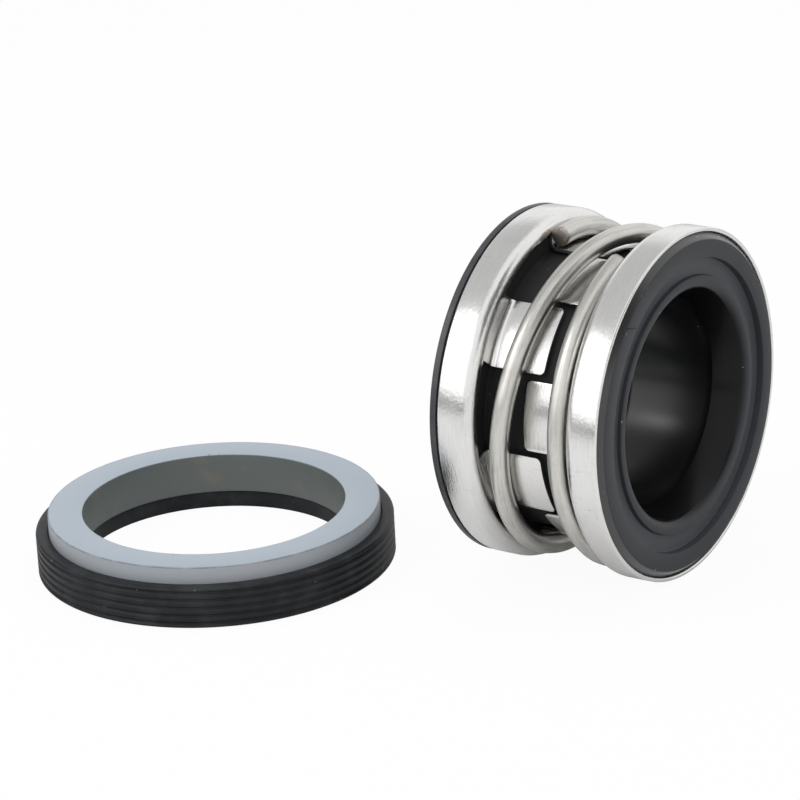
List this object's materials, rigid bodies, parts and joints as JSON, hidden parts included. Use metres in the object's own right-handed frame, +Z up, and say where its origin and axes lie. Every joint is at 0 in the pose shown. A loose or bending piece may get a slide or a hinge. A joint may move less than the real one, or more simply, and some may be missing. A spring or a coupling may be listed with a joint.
{
  "type": "component mechanical seal",
  "caption": "Rubber bellows shaft seal as a set: rotary head with tabbed pressed cups and coil spring, and its stationary seat ring in a rubber boot.",
  "frame": {"origin": "middle of the ground that the set covers, on the floor", "axes": "+X along the head's axis towards its tail, +Y away from the seat's side of the head, +Z up along the seat's axis"},
  "size_m": [0.1044, 0.0892, 0.058],
  "materials": {
    "pressed_steel": "bright pressed stainless sheet with faint drawing lines",
    "spring_steel": "drawn stainless wire with lengthwise marks and a brownish cut end",
    "bellows_rubber": "moulded nitrile rubber, satin outside and glossy in the bore",
    "boot_rubber": "moulded rubber with fine sealing grooves",
    "carbon": "fine-grained machined carbon with a lapped nose",
    "carbide": "lapped blue-grey silicon carbide face with a matt ground bore"
  },
  "bodies": {
    "drive_end_and_seat": {"drive_band": "pressed_steel", "bellows": "bellows_rubber", "spring": "spring_steel", "seat_ring": "carbide", "seat_boot": "boot_rubber"},
    "face_end": {"retainer": "pressed_steel", "primary_ring": "carbon"}
  },
  "joints": [
    {"name": "face_slide", "type": "slide", "parent": "drive_end_and_seat", "child": "face_end", "axis": [1, 0, 0], "range_m": [0, 0.004], "stiffness_N_per_m": 7100, "deforming": ["spring", "bellows"]}
  ]
}
